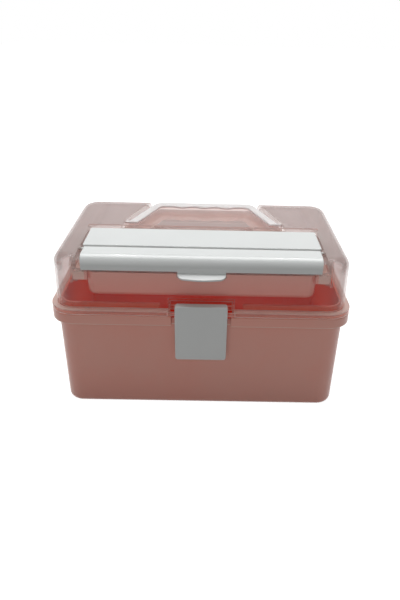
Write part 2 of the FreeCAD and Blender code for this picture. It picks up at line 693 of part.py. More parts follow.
def add_ledges(lid):
    """A stepped ledge along the sides and the back of the opening, cheeks, bin rails and flap sockets."""
    back = cutout_back + cheek_thickness
    top_start, top_end, top_radius = along_round(rebate)
    low_start, low_end, low_radius = along_round(rebate + ledge_thickness)
    wall_middle = -lid_half_y + lid_wall / 2
    ledge = [
        at(back, top_start[1]), top_start, arc_to(top_end, round_centre(), top_radius),
        at(top_end[0], cutout_sill), at(wall_middle, cutout_sill),
        at(wall_middle, cutout_sill - ledge_thickness), at(low_end[0], cutout_sill - ledge_thickness),
        low_end, arc_to(low_start, round_centre(), low_radius),
        at(back, low_start[1]),
    ]
    side_ledge = pad(lid, "side_ledge", "YZ_Plane", cutout_half - ledge_reach, [ledge],
                     ledge_reach + cheek_room + cheek_thickness)
    cheek_start, cheek_end, cheek_radius = along_round(lid_wall * 0.75)
    cheek = [
        at(back, cheek_start[1]), cheek_start, arc_to(cheek_end, round_centre(), cheek_radius),
        at(cheek_end[0], cheek_foot), at(back, cheek_foot),
    ]
    side_cheek = pad(lid, "cheek", "YZ_Plane", cheek_side, [cheek], cheek_thickness)
    rail = rectangle(cutout_half, -bin_front, cheek_side + cheek_thickness / 2, cutout_back)
    side_rail = pad(lid, "rail", "XY_Plane", cheek_foot, [rail], rail_thickness)
    socket_start = cover_half + side_gap
    boss = at(-flap_axis, flap_z), flap_barrel + rail_thickness / 2
    flap_boss = pad(lid, "flap_boss", "YZ_Plane", socket_start, [boss],
                    cheek_side - socket_start + cheek_thickness / 2)
    hole = at(-flap_axis, flap_z), flap_stub_radius + flap_stub_clearance
    flap_socket = pocket(lid, "flap_socket", "YZ_Plane", socket_start - 1, [hole], flap_grip + side_gap + 1)
    mirror(lid, "other_ledge", [side_ledge, side_cheek, side_rail, flap_boss, flap_socket])
    end = cheek_side + cheek_thickness
    rear_ledge = rectangle(-end, -cover_back - ledge_reach / 2, end, back)
    pad(lid, "rear_ledge", "XY_Plane", lid_height - rebate - ledge_thickness, [rear_ledge], ledge_thickness)
    rear_wall = rectangle(-end, cutout_back, end, back)
    pad(lid, "rear_wall", "XY_Plane", lid_height - rebate - ledge_thickness, [rear_wall], rebate)


def swing_radius():
    """How far the latch's top corner is from the bar's axis."""
    out = latch_front + bar_y
    up = latch_top - bar_z
    return root(out * out + up * up)


def swing_outline(radius, foot, front):
    """The round pocket that the latch's top swings into, from the foot to a plane at the front."""
    wall_middle = -lid_half_y + lid_wall / 4
    run = wall_middle - bar_y
    height = bar_z + root(radius * radius - run * run)
    outline = [
        at(front, foot), at(bar_y + radius, foot), at(bar_y + radius, bar_z),
        arc_to(at(wall_middle, height), at(bar_y, bar_z), radius),
    ]
    if abs(front.number - wall_middle.number) > tolerance:
        outline.append(at(front, height))
    return outline


def add_latch_pocket(lid):
    """A pocket behind the latch, the flange's gap and the bar across it."""
    radius = swing_radius() + swing_gap
    half = pocket_half + pocket_wall
    inside = -lid_half_y + lid_wall / 4
    shell = swing_outline(radius + pocket_wall, lid_foot, inside)
    pad(lid, "latch_housing", "YZ_Plane", -half, [shell], half * 2)
    outside = -rim_half_y - 1
    room = swing_outline(radius, lid_foot - 1, outside)
    pocket(lid, "latch_pocket", "YZ_Plane", -pocket_half, [room], pocket_half * 2)
    wall_face = lid_half_y + lid_flare
    gap = rectangle(-flange_notch, outside, flange_notch, -wall_face)
    pocket(lid, "flange_gap", "XY_Plane", lid_foot - 1, [gap], flange_thickness + 2)
    bar = at(bar_y, bar_z), bar_radius
    bar_end = flange_notch + edge_round
    pad(lid, "latch_bar", "YZ_Plane", -bar_end, [bar], bar_end * 2)


def add_lid_knuckle(lid):
    """The lid's knuckle, between the tub's two, at each side."""
    start = hinge_middle - hinge_centre_length / 2
    barrel = pad(lid, "knuckle", "YZ_Plane", start, [knuckle_circle(knuckle_radius)], hinge_centre_length)
    inner = rim_half_y - rim_skin / 2
    web_outline = [
        at(inner, lid_foot), at(hinge_y, lid_foot), at(hinge_y, hinge_z + knuckle_radius),
        at(inner, lid_foot + flange_thickness),
    ]
    web = pad(lid, "knuckle_web", "YZ_Plane", start, [web_outline], hinge_centre_length)
    bore_radius = hinge_pin_radius + hinge_pin_clearance
    bore = pocket(lid, "pin_bore", "YZ_Plane", start - 1, [knuckle_circle(bore_radius)],
                  hinge_centre_length + 2)
    mirror(lid, "other_knuckle", [barrel, web, bore])


# Hinge pins

def make_hinge_pin(label, side):
    pin = doc.addObject("Part::Cylinder", label)
    pin.Label = label
    start = hinge_middle - hinge_length / 2 + pin_end_inset
    length = hinge_length - pin_end_inset * 2
    bind(pin, "Radius", hinge_pin_radius)
    bind(pin, "Height", length)
    pin.Placement.Rotation = FreeCAD.Rotation(FreeCAD.Vector(0, 1, 0), 90)
    bind(pin, "Placement.Base.x", start if side > 0 else -start - length)
    bind(pin, "Placement.Base.y", hinge_y)
    bind(pin, "Placement.Base.z", hinge_z)
    return pin


# front_latch: a shallow tray-shaped plate with two clips on the bar and a hook

def latch_face(inset, foot):
    top_half = latch_width / 2 - inset
    foot_half = latch_foot_width / 2 - inset
    top = latch_top - inset
    low = foot + inset
    radius = latch_round - inset / 2
    return [
        at(foot_half - radius, low),
        arc_to(at(foot_half, low + radius), at(foot_half - radius, low + radius), radius),
        at(top_half, top - radius),
        arc_to(at(top_half - radius, top), at(top_half - radius, top - radius), radius),
        at(radius - top_half, top),
        arc_to(at(-top_half, top - radius), at(radius - top_half, top - radius), radius),
        at(-foot_half, low + radius),
        arc_to(at(radius - foot_half, low), at(radius - foot_half, low + radius), radius),
    ]


def make_front_latch():
    latch = new_body("front_latch")
    back = latch_front - latch_depth
    pad(latch, "plate", "XZ_Plane", back, [latch_face(as_size(0), latch_foot)], latch_depth)
    front_y = -latch_front.number
    round_edges(latch, "face_edge", lambda e: e.BoundBox.YMax < front_y + 1e-3, latch_skin * 0.6)
    pocket(latch, "hollow", "XZ_Plane", back - 1, [latch_face(latch_skin, latch_foot)],
           latch_depth - latch_skin + 1)
    bar_room = bar_radius + swing_gap
    slot = rectangle(bar_y, bar_z - bar_room, -back + 1, bar_z + bar_room)
    pocket(latch, "bar_slot", "YZ_Plane", -latch_width, [slot], latch_width * 2)
    pocket(latch, "bar_slot_end", "YZ_Plane", -latch_width, [(at(bar_y, bar_z), bar_room)], latch_width * 2)
    inner_face = -latch_front + latch_skin / 2
    bore_radius = bar_radius + bar_clearance
    clip_radius = bore_radius + clip_wall
    start = clip_middle - clip_length / 2
    clip = pad(latch, "clip", "YZ_Plane", start, [(at(bar_y, bar_z), clip_radius)], clip_length)
    web = pad(latch, "clip_web", "YZ_Plane", start,
              [rectangle(inner_face, bar_z - clip_radius, bar_y, bar_z + clip_radius)], clip_length)
    bore = pocket(latch, "clip_bore", "YZ_Plane", start - 1, [(at(bar_y, bar_z), bore_radius)],
                  clip_length + 2)
    mouth_half = bore_radius * 0.8
    mouth = rectangle(bar_y, bar_z - mouth_half, bar_y + clip_radius + 1, bar_z + mouth_half)
    opening = pocket(latch, "clip_mouth", "YZ_Plane", start - 1, [mouth], clip_length + 2)
    mirror(latch, "other_clip", [clip, web, bore, opening])
    wall_face = tub_wall_face()
    tip = -wall_face - catch_reach - hook_gap
    hook_top = catch_height - hook_gap
    hook_outline = [
        at(inner_face, hook_top), at(tip, hook_top), at(tip, hook_top - catch_reach / 3),
        at(inner_face, hook_top - catch_reach * 1.4),
    ]
    hook_half = catch_half - latch_skin
    pad(latch, "hook", "YZ_Plane", -hook_half, [hook_outline], hook_half * 2)
    return latch


# carry_handle: a flat bow with finger hollows and a stub on each foot

def make_carry_handle():
    handle = new_body("carry_handle")
    foot_y = handle_pivot_back - handle_thickness / 2
    back_y = handle_pivot_back + handle_reach
    ridge_y = back_y - bar_width
    peak = ridge_y + finger_depth
    slope = (handle_foot_half - handle_bar_half) / (back_y - foot_y)
    inner_foot = handle_foot_half - leg_width
    inner_bar = inner_foot - slope * (peak - foot_y)
    outline = [
        at(-handle_foot_half, foot_y), at(-inner_foot, foot_y), at(-inner_bar, peak),
        at(finger_pitch * -1.5, peak),
        *wave_steps(peak, finger_pitch),
        at(inner_bar, peak), at(inner_foot, foot_y), at(handle_foot_half, foot_y),
        at(handle_bar_half, back_y), at(-handle_bar_half, back_y),
    ]
    low = handle_z - handle_thickness / 2
    pad(handle, "bow", "XY_Plane", low, [outline], handle_thickness)
    round_edges(handle, "outer_corners", upright_near(handle_bar_half, back_y), handle_corner)
    inner_corner = handle_corner - edge_round * 2
    round_edges(handle, "inner_corners", upright_near(inner_bar, peak), inner_corner, grows=True)
    round_edges(handle, "soft_edges", flat_at(low, low + handle_thickness), handle_thickness * 0.44)
    stub_start = inner_foot + edge_round
    length = recess_foot_half + stub_grip - stub_start
    pivot = at(handle_pivot_back, handle_z)
    stub = pad(handle, "stub", "YZ_Plane", stub_start, [(pivot, stub_radius)], length)
    mirror(handle, "other_stub", [stub])
    return handle


def upright_near(x, y):
    """A test for upright edges at one place and its mirror image."""
    def test(edge):
        box = edge.BoundBox
        upright = box.XLength < 1e-3 and box.YLength < 1e-3
        return upright and abs(abs(box.XMin) - x.number) < 1e-2 and abs(box.YMin - y.number) < 1e-2
    return test


# compartment_bin: the small bin under the flap, hung by its side flanges

def make_compartment_bin():
    small_bin = new_body("compartment_bin")
    middle_y = -(bin_front + bin_back) / 2
    half_depth = (bin_front - bin_back) / 2
    height = bin_top - bin_foot
    shrink = height * tangent(bin_draft)
    foot = rounded_rectangle(bin_half - shrink, half_depth - shrink, bin_corner - shrink, middle_y)
    pad(small_bin, "outside", "XY_Plane", bin_foot, [foot], height, taper=bin_draft)
    round_edges(small_bin, "foot_edge", flat_at(bin_foot), bin_foot_round)
    side = cheek_side - side_gap
    flange = rectangle(bin_half - bin_wall, -bin_front, side, -bin_back)
    flange_height = bin_top - rail_top
    side_flange = pad(small_bin, "flange", "XY_Plane", rail_top, [flange], flange_height)
    skirt = rectangle(bin_half, bin_wall - bin_front, side - bin_wall, -bin_back - bin_wall)
    hollow = pocket(small_bin, "flange_hollow", "XY_Plane", rail_top - 1, [skirt],
                    flange_height - bin_wall + 1)
    mirror(small_bin, "other_flange", [side_flange, hollow])
    round_edges(small_bin, "flange_ends", end_edge(side), flange_round)
    deep = height - bin_wall
    shrink = deep * tangent(bin_draft) + bin_wall
    inner_foot = rounded_rectangle(bin_half - shrink, half_depth - shrink, bin_corner - shrink, middle_y)
    pocket(small_bin, "inside", "XY_Plane", bin_foot + bin_wall, [inner_foot], deep, taper=bin_draft)
    round_edges(small_bin, "floor_edge", flat_at(bin_foot + bin_wall), bin_foot_round - bin_wall, grows=True)
    return small_bin


def end_edge(x):
    """A test for edges that run from front to back at one distance from the middle."""
    def test(edge):
        box = edge.BoundBox
        return box.XLength < 1e-3 and box.ZLength < 1e-3 and abs(abs(box.XMin) - x.number) < 1e-3
    return test


# compartment_cover: the fixed white cover behind the flap

def make_compartment_cover():
    cover = new_body("compartment_cover")
    middle_y = -(cover_front + cover_back) / 2
    half_depth = (cover_front - cover_back) / 2
    corner = cover_skin
    low = lid_height - rebate
    outer = rounded_rectangle(cover_half, half_depth, corner, middle_y)
    pad(cover, "plate", "XY_Plane", low, [outer], rebate)
    round_edges(cover, "top_edge", flat_at(lid_height), edge_round)
    inner = rounded_rectangle(cover_half - cover_skin, half_depth - cover_skin, corner / 2, middle_y)
    pocket(cover, "hollow", "XY_Plane", low - 1, [inner], rebate - cover_skin + 1)
    return cover


# compartment_flap: the curved white flap with its rolled edge, end stubs, apron and thumb tab

def flap_profile(inset, outset=0.0):
    """The flap's section from its rolled edge over the front and down to its foot."""
    start, end, radius = along_round(outset)
    inner_start, inner_end, inner_radius = along_round(inset)
    foot = cutout_sill + flap_gap
    lean = (end[1] - foot) * tangent(lid_draft)
    return [
        at(-flap_start, start[1]), start, arc_to(end, round_centre(), radius), at(end[0] - lean, foot),
        at(inner_end[0] - lean, foot), inner_end, arc_to(inner_start, round_centre(), inner_radius),
        at(-flap_start, inner_start[1]),
    ]


def make_compartment_flap():
    flap = new_body("compartment_flap")
    pad(flap, "plate", "YZ_Plane", -flap_half, [flap_profile(cover_skin)], flap_half * 2)
    rim = flap_profile(rebate - side_gap, cover_skin / 2)
    side_rim = pad(flap, "side_rim", "YZ_Plane", flap_half - cover_skin, [rim], cover_skin)
    lean_outline = [
        at(flap_half, lid_roof), at(flap_half - flap_lean, cutout_sill - 1),
        at(flap_half + 1, cutout_sill - 1), at(flap_half + 1, lid_roof),
    ]
    out = lid_half_y + rim_reach_front
    side_cut = pocket(flap, "side_lean", "XZ_Plane", out, [lean_outline], rim_reach_front + lid_round,
                      reverse=True)
    mirror(flap, "other_side", [side_rim, side_cut])
    pad(flap, "barrel", "YZ_Plane", -flap_half, [(at(-flap_axis, flap_z), flap_barrel)], flap_half * 2)
    stub_end = cover_half + side_gap + flap_grip
    stub = at(-flap_axis, flap_z), flap_stub_radius
    pad(flap, "stubs", "YZ_Plane", -stub_end, [stub], stub_end * 2)
    foot = cutout_sill + flap_gap
    lean = (lid_height - lid_round - foot) * tangent(lid_draft)
    skirt_out = lid_half_y + lean
    apron = rectangle(-tab_half, apron_foot, tab_half, foot + 1)
    pad(flap, "apron", "XZ_Plane", skirt_out - cover_skin, [apron], cover_skin)
    add_tab(flap, skirt_out)
    return flap


def add_tab(flap, skirt_out):
    """A lip with round ends that stands out from the apron and slopes down."""
    corner = tab_reach * 0.78
    bulge = tab_reach * 0.14
    straight = tab_half - corner
    side_y = -tab_reach + corner + bulge
    gentle = (straight * straight + bulge * bulge) / (bulge * 2)
    root_y = cover_skin / 2
    steps = [
        at(-tab_half, root_y), at(-tab_half, side_y),
        arc_to(at(-straight, side_y - corner), at(-straight, side_y), corner),
        arc_to(at(straight, side_y - corner), at(as_size(0), gentle - tab_reach), gentle),
        arc_to(at(tab_half, side_y), at(straight, side_y), corner),
        at(tab_half, root_y),
    ]
    sketch = new_sketch(flap, "tab_outline", "XY_Plane", as_size(0))
    draw(sketch, steps)
    top = apron_foot + tab_thickness * 1.6
    sketch.AttachmentOffset = FreeCAD.Placement(
        FreeCAD.Vector(0, -skirt_out.number, top.number),
        FreeCAD.Rotation(FreeCAD.Vector(1, 0, 0), tab_slope.number))
    bind(sketch, "AttachmentOffset.Base.y", -skirt_out)
    bind(sketch, "AttachmentOffset.Base.z", top)
    bind(sketch, "AttachmentOffset.Rotation.Angle", tab_slope)
    tab = flap.newObject("PartDesign::Pad", "tab")
    tab.Profile = sketch
    tab.Reversed = True
    bind(tab, "Length", tab_thickness)
    finish_feature(flap, tab, True)


# Build, check and write every piece

def main():
    pieces = [
        make_base_tub(),
        make_lid_shell(),
        make_hinge_pin("lid_hinge_pin_left", -1),
        make_hinge_pin("lid_hinge_pin_right", 1),
        make_front_latch(),
        make_carry_handle(),
        make_compartment_bin(),
        make_compartment_cover(),
        make_compartment_flap(),
    ]
    doc.recompute()
    for thing in doc.Objects:
        if "Invalid" in thing.State or "Error" in thing.State:
            raise RuntimeError(f"{thing.Label} did not recompute")
    for piece in pieces:
        if piece.Shape.isNull() or not piece.Shape.isValid() or len(piece.Shape.Solids) != 1:
            raise RuntimeError(f"{piece.Label} is not one valid solid")
    os.makedirs("parts", exist_ok=True)
    for piece in pieces:
        piece.Shape.exportStep(f"parts/{piece.Label}.step")
        box = piece.Shape.BoundBox
        print(f"{piece.Label:22} volume {piece.Shape.Volume:10.1f}  X {box.XMin:7.1f} {box.XMax:7.1f}  "
              f"Y {box.YMin:7.1f} {box.YMax:7.1f}  Z {box.ZMin:6.1f} {box.ZMax:6.1f}")


main()
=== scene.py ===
import math

import bpy
from mathutils import Matrix, Vector

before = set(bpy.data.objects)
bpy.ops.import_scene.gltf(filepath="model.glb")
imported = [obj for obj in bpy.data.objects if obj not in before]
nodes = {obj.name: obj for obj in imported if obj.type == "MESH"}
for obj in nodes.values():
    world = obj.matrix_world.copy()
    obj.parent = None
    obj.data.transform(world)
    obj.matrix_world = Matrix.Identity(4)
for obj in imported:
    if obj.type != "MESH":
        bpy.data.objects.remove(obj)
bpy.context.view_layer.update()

# Medicine box, dressed for rendering. Metres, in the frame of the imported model: front is -Y, up is +Z.

scene = bpy.context.scene

# Heights over the ground where a material, or the light painted into it, changes, each from its start to its
# end

tub_floor = 0.006, 0.012
# The skirt's foot carries a painted highlight line.
skirt_foot_highlight = 0.0853, 0.0864
lip_foot = 0.0948, 0.0956
flange_heights = 0.0951, 0.0996
# Painted highlight lines along the lid's flange.
flange_lower_highlight = 0.0949, 0.0956
flange_upper_highlight = 0.0988, 0.0996
bin_walls = 0.108, 0.13
lid_shoulder = 0.126, 0.143
recess_floor = 0.1365, 0.1395
island_foot = 0.14, 0.1408
bead_foot = 0.1461, 0.1465

# The same behind the middle of the box

island_depth = -0.0065, 0.0125
hinge_front = 0.0805, 0.0815

# The same to either side of the middle

island_end = 0.047, 0.048
bin_flange = 0.0978, 0.0986
lid_top_end = 0.097, 0.105
lid_side_end = 0.095, 0.125


# Shader helpers

def linear(red, green, blue):
    """A display colour from 0 to 255 as linear light."""
    def one(value):
        value /= 255
        return value / 12.92 if value <= 0.04045 else ((value + 0.055) / 1.055) ** 2.4
    return one(red), one(green), one(blue), 1.0


class Shader:
    """A material's nodes, added one by one."""

    def __init__(self, name):
        self.material = bpy.data.materials.new(name)
        self.material.use_nodes = True
        self.tree = self.material.node_tree
        self.tree.nodes.clear()
        self.output = self.tree.nodes.new("ShaderNodeOutputMaterial")
        self.where = None

    def node(self, kind, **settings):
        """A new node of a kind, with its settings."""
        made = self.tree.nodes.new("ShaderNode" + kind)
        for name, value in settings.items():
            setattr(made, name, value)
        return made

    def feed(self, socket, value):
        """Links a socket to another node's output, or sets it."""
        if isinstance(value, bpy.types.NodeSocket):
            self.tree.links.new(value, socket)
        else:
            socket.default_value = value

    def fill(self, made, values):
        """Feeds a node's inputs by their names, written in small letters with underscores."""
        sockets = {socket.name.lower().replace(" ", "_"): socket for socket in made.inputs}
        for name, value in values.items():
            self.feed(sockets[name], value)
        return made.outputs[0]

    def place(self):
        """Coordinates in the object's own metres."""
        if self.where is None:
            self.where = self.node("TexCoord").outputs["Object"]
        return self.where

    def facing(self):
        """The direction that the surface faces."""
        return self.node("NewGeometry").outputs["Normal"]

    def along(self, vector, axis):
        """A vector's share along X, Y or Z."""
        made = self.node("SeparateXYZ")
        self.feed(made.inputs[0], vector)
        return made.outputs[axis]

    def height(self):
        """How high a point lies over the ground."""
        return self.along(self.place(), "Z")

    def back(self):
        """How far behind the middle a point lies."""
        return self.along(self.place(), "Y")

    def beside(self):
        """How far a point lies to either side of the middle."""
        return self.math("ABSOLUTE", self.along(self.place(), "X"))

    def noise(self, scale, detail, roughness=0.5):
        """Clouds from 0 to 1, finer with a larger scale."""
        made = self.node("TexNoise")
        return self.fill(made, {"vector": self.place(), "scale": scale, "detail": detail,
                                "roughness": roughness})

    def remap(self, value, between, to=(0.0, 1.0), smooth=False):
        """Carries a value from one range over to another, and holds it at the ends."""
        made = self.node("MapRange", interpolation_type="SMOOTHSTEP" if smooth else "LINEAR")
        for name, number in (("Value", value), ("From Min", between[0]), ("From Max", between[1]),
                             ("To Min", to[0]), ("To Max", to[1])):
            self.feed(made.inputs[name], number)
        return made.outputs["Result"]

    def blend(self, share, first, second):
        """The first number at a share of 0, the second at 1."""
        return self.remap(share, (0.0, 1.0), (first, second))

    def band(self, value, between, soft):
        """1 between two values, 0 outside, with soft ends."""
        low, high = between
        rising = self.remap(value, (low - soft, low + soft))
        falling = self.remap(value, (high - soft, high + soft), (1.0, 0.0))
        return self.times(rising, falling)

    def math(self, operation, first, second=0.0, clamp=False):
        made = self.node("Math", operation=operation, use_clamp=clamp)
        self.feed(made.inputs[0], first)
        self.feed(made.inputs[1], second)
        return made.outputs[0]

    def plus(self, first, second, clamp=False):
        return self.math("ADD", first, second, clamp)

    def times(self, first, second):
        return self.math("MULTIPLY", first, second)

    def larger(self, first, second):
        return self.math("MAXIMUM", first, second)

    def vector_math(self, operation, first, second):
        """A node for two vectors. Its outputs hold the result as a vector or as a value."""
        made = self.node("VectorMath", operation=operation)
        self.feed(made.inputs[0], first)
        self.feed(made.inputs[1], second)
        return made.outputs

    def mix(self, factor, first, second):
        """The first colour at a factor of 0, the second at 1."""
        made = self.node("Mix", data_type="RGBA")
        self.feed(made.inputs[0], factor)
        self.feed(made.inputs[6], first)
        self.feed(made.inputs[7], second)
        return made.outputs[2]

    def soft_edges(self, radius):
        """Normals that turn smoothly round every edge, as on a moulded part."""
        made = self.node("Bevel", samples=6)
        made.inputs["Radius"].default_value = radius
        return made.outputs["Normal"]

    def edge_share(self, rounded):
        """How much the rounded normal leans away from the face: 0 on faces, more near an edge."""
        agreement = self.vector_math("DOT_PRODUCT", rounded, self.facing())["Value"]
        return self.math("SUBTRACT", 1.0, agreement, clamp=True)

    def lying(self):
        """1 on level faces, 0 on upright ones."""
        upright_to_level = 0.6, 0.9
        return self.remap(self.math("ABSOLUTE", self.along(self.facing(), "Z")), upright_to_level)

    def grazing(self, normal):
        """0 where the surface is met head on, 1 where it is seen edge on."""
        made = self.node("LayerWeight")
        made.inputs["Blend"].default_value = 0.5
        self.feed(made.inputs["Normal"], normal)
        return made.outputs["Facing"]

    def rippled(self, rounded, scale, strength, depth):
        """Fine waves of a depth in metres, over normals with rounded edges."""
        made = self.node("Bump")
        made.inputs["Strength"].default_value = strength
        made.inputs["Distance"].default_value = depth
        self.feed(made.inputs["Height"], self.noise(scale, detail=2.0))
        self.feed(made.inputs["Normal"], rounded)
        return made.outputs["Normal"]

    def mix_shaders(self, factor, first, second):
        """The first shader at a factor of 0, the second at 1."""
        made = self.node("MixShader")
        for socket, value in zip(made.inputs, (factor, first, second)):
            self.feed(socket, value)
        return made.outputs[0]

    def shader(self, kind, **values):
        """A shader node with its inputs."""
        return self.fill(self.node(kind), values)

    def finish(self, surface):
        """The material, once its surface is known."""
        self.feed(self.output.inputs["Surface"], surface)
        return self.material


# Features that the materials share

moulded_roughness = 0.3


def mottle(shader, colour, other):
    """Faint flow marks: two near colours in soft clouds."""
    clouds = shader.noise(scale=16.0, detail=4.0, roughness=0.6)
    usual_range = 0.3, 0.7
    return shader.mix(shader.remap(clouds, usual_range, smooth=True), colour, other)


def handled(shader, roughness):
    """Roughness that varies with slight handling marks."""
    marks = shader.noise(scale=60.0, detail=5.0, roughness=0.65)
    usual_range = 0.25, 0.75
    return shader.remap(marks, usual_range, (roughness * 0.9, roughness * 1.1))


# Metal and white plastic

def solid_plastic(name, colours, roughness, soaks=0.0, waves=0.0, metallic=0.0):
    """Metal or moulded plastic. Light soaks in to a depth, and a coat can have waves, both in metres."""
    shader = Shader(name)
    rounded = shader.soft_edges(0.0007)
    values = {
        "base_color": mottle(shader, *colours),
        "roughness": handled(shader, roughness),
        "normal": shader.rippled(rounded, scale=2600.0, strength=0.35, depth=0.000008),
        "metallic": metallic}
    if soaks:
        values.update(subsurface_weight=1.0, subsurface_radius=(1.0, 1.0, 1.0), subsurface_scale=soaks)
    if waves:
        wavy = shader.rippled(rounded, scale=260.0, strength=1.0, depth=waves)
        values.update(coat_weight=0.35, coat_roughness=0.05, coat_normal=wavy)
    return shader.finish(shader.shader("BsdfPrincipled", **values))


plain_whites = linear(232, 235, 234), linear(229, 232, 231)
bright_whites = linear(240, 243, 242), linear(237, 240, 239)
steel_greys = linear(170, 170, 172), linear(160, 160, 163)
white = solid_plastic("white_plastic", plain_whites, roughness=0.22)
handle_white = solid_plastic("white_handle", bright_whites, roughness=0.22, soaks=0.008)
flap_white = solid_plastic("white_flap", plain_whites, roughness=0.35, waves=0.00012)
steel = solid_plastic("pin_steel", steel_greys, roughness=0.3, metallic=1.0)


# Pink plastic

def tinted_plastic(name, outsides, inside, edge_highlight, deep_tone_share):
    """Coloured plastic, pale outside. A paler colour along its edges and at the skirt's foot is a painted
    highlight; a deeper tone goes where the given share says.
    """
    shader = Shader(name)
    rounded = shader.soft_edges(0.0008)
    face_to_edge = 0.02, 0.28
    # Painted highlight: the pale edge colour goes on near edges and along the skirt's foot.
    edge_highlight_share = shader.remap(shader.edge_share(rounded), face_to_edge)
    edge_highlight_share = shader.larger(edge_highlight_share, shader.band(shader.height(), skirt_foot_highlight, soft=0.0002))
    skin = shader.mix(edge_highlight_share, mottle(shader, *outsides), edge_highlight)
    return shader.finish(shader.shader(
        "BsdfPrincipled",
        base_color=shader.mix(deep_tone_share(shader), skin, inside),
        roughness=handled(shader, moulded_roughness),
        normal=shader.rippled(rounded, scale=2400.0, strength=0.3, depth=0.000012)))


def painted_light_inside_tub(shader):
    """1 on the tub's inner faces and its floor, nearly that on its thin lip, 0 outside and on the hinge.
    There the tub takes a deeper red, painted light that stands in for light reaching the inside through the
    pink walls.
    """
    from_axis = shader.vector_math("MULTIPLY", shader.place(), (1.0, 1.0, 0.0))["Vector"]
    outward = shader.vector_math("DOT_PRODUCT", shader.facing(), from_axis)["Value"]
    facing_in = -0.03, -0.005
    walls = shader.remap(outward, facing_in, (1.0, 0.0), smooth=True)
    steep_to_level = 0.5, 0.8
    upward = shader.remap(shader.along(shader.facing(), "Z"), steep_to_level)
    floor = shader.times(upward, shader.remap(shader.height(), tub_floor, (1.0, 0.0)))
    colour_of_lip = 0.95
    lip = shader.remap(shader.height(), lip_foot, (0.0, colour_of_lip))
    inside = shader.larger(shader.larger(walls, floor), lip)
    return shader.times(inside, shader.remap(shader.back(), hinge_front, (1.0, 0.0)))


def away_from_flanges(shader):
    """0 on the bin's thin side flanges, and slowly more down its walls. The flanges keep the pale pink as a
    painted highlight for the side light they catch, and the walls grow deeper towards the foot.
    """
    walls = shader.remap(shader.beside(), bin_flange, (1.0, 0.0))
    at_foot, at_top = 0.78, 0.52
    return shader.times(walls, shader.remap(shader.height(), bin_walls, (at_foot, at_top)))


# Tub: the deep red of the inner faces is painted light through the pink walls, and the pale edge colour is a
# painted highlight.
tub_pink = tinted_plastic(
    "tub_pink", outsides=(linear(242, 165, 148), linear(240, 171, 155)), inside=linear(236, 94, 60),
    edge_highlight=linear(247, 206, 191), deep_tone_share=painted_light_inside_tub)
# Bin: its pale pink is partly its own colour and partly painted light through its thin walls; its flanges and
# edges carry painted highlights.
bin_pink = tinted_plastic(
    "bin_pink", outsides=(linear(255, 216, 205), linear(255, 214, 203)), inside=linear(253, 140, 120),
    edge_highlight=linear(255, 226, 216), deep_tone_share=away_from_flanges)


# Clear plastic of the lid

side_milk = linear(224, 211, 207)
top_milks = linear(215, 199, 195), linear(211, 195, 191)
recess_milk = linear(198, 160, 150)
# Painted see-through: the clear flange takes the pink of the tub's rim under it.
painted_tub_pink_on_flange = 0.9, 0.42, 0.34, 1.0
# Painted highlight colour for the lid's edges and flange lines.
painted_edge_highlight_colour = 0.92, 0.73, 0.66, 1.0
head_on_tint = 0.985, 0.975, 0.97, 1.0
side_tint = 0.972, 0.963, 0.958, 1.0
top_tint = 0.63, 0.58, 0.57, 1.0
recess_tint = 0.7, 0.59, 0.56, 1.0


def on_island(shader, height):
    """1 on the raised island in the middle of the lid."""
    across = shader.band(shader.back(), island_depth, soft=0.0004)
    along = shader.remap(shader.beside(), island_end, (1.0, 0.0))
    return shader.times(shader.times(across, along), shader.remap(height, island_foot))


def haze_of_lid(shader, height, slant, top, flange):
    """How milky the faces are: more where they slant away, on the top, at the ends, flange and island."""
    head_on_haze, side_haze, top_haze = 0.012, 0.16, 0.36
    more_at_side_ends, more_at_top_ends, more_on_flange, more_on_island = 0.1, 0.16, 0.4, 0.22
    side_ends = shader.remap(shader.beside(), lid_side_end, (0.0, more_at_side_ends))
    top_ends = shader.remap(shader.beside(), lid_top_end, (0.0, more_at_top_ends))
    ends = shader.blend(top, side_ends, top_ends)
    haze = shader.blend(slant, head_on_haze, shader.blend(top, side_haze, top_haze))
    haze = shader.plus(haze, shader.larger(ends, shader.times(flange, more_on_flange)))
    return shader.plus(haze, shader.times(on_island(shader, height), more_on_island))


def painted_edge_highlights_of_lid(shader, height, rounded, top):
    """Painted highlights: bright lines along the edges, and two along the flange."""
    side_edge, top_edge, flange_line = 0.6, 0.12, 0.5
    face_to_edge = 0.004, 0.12
    lines = shader.larger(shader.band(height, flange_lower_highlight, soft=0.0001),
                          shader.band(height, flange_upper_highlight, soft=0.0001))
    strength = shader.blend(top, side_edge, top_edge)
    edge_highlight = shader.remap(shader.edge_share(rounded), face_to_edge, (0.0, strength))
    return shader.larger(edge_highlight, shader.times(lines, flange_line))


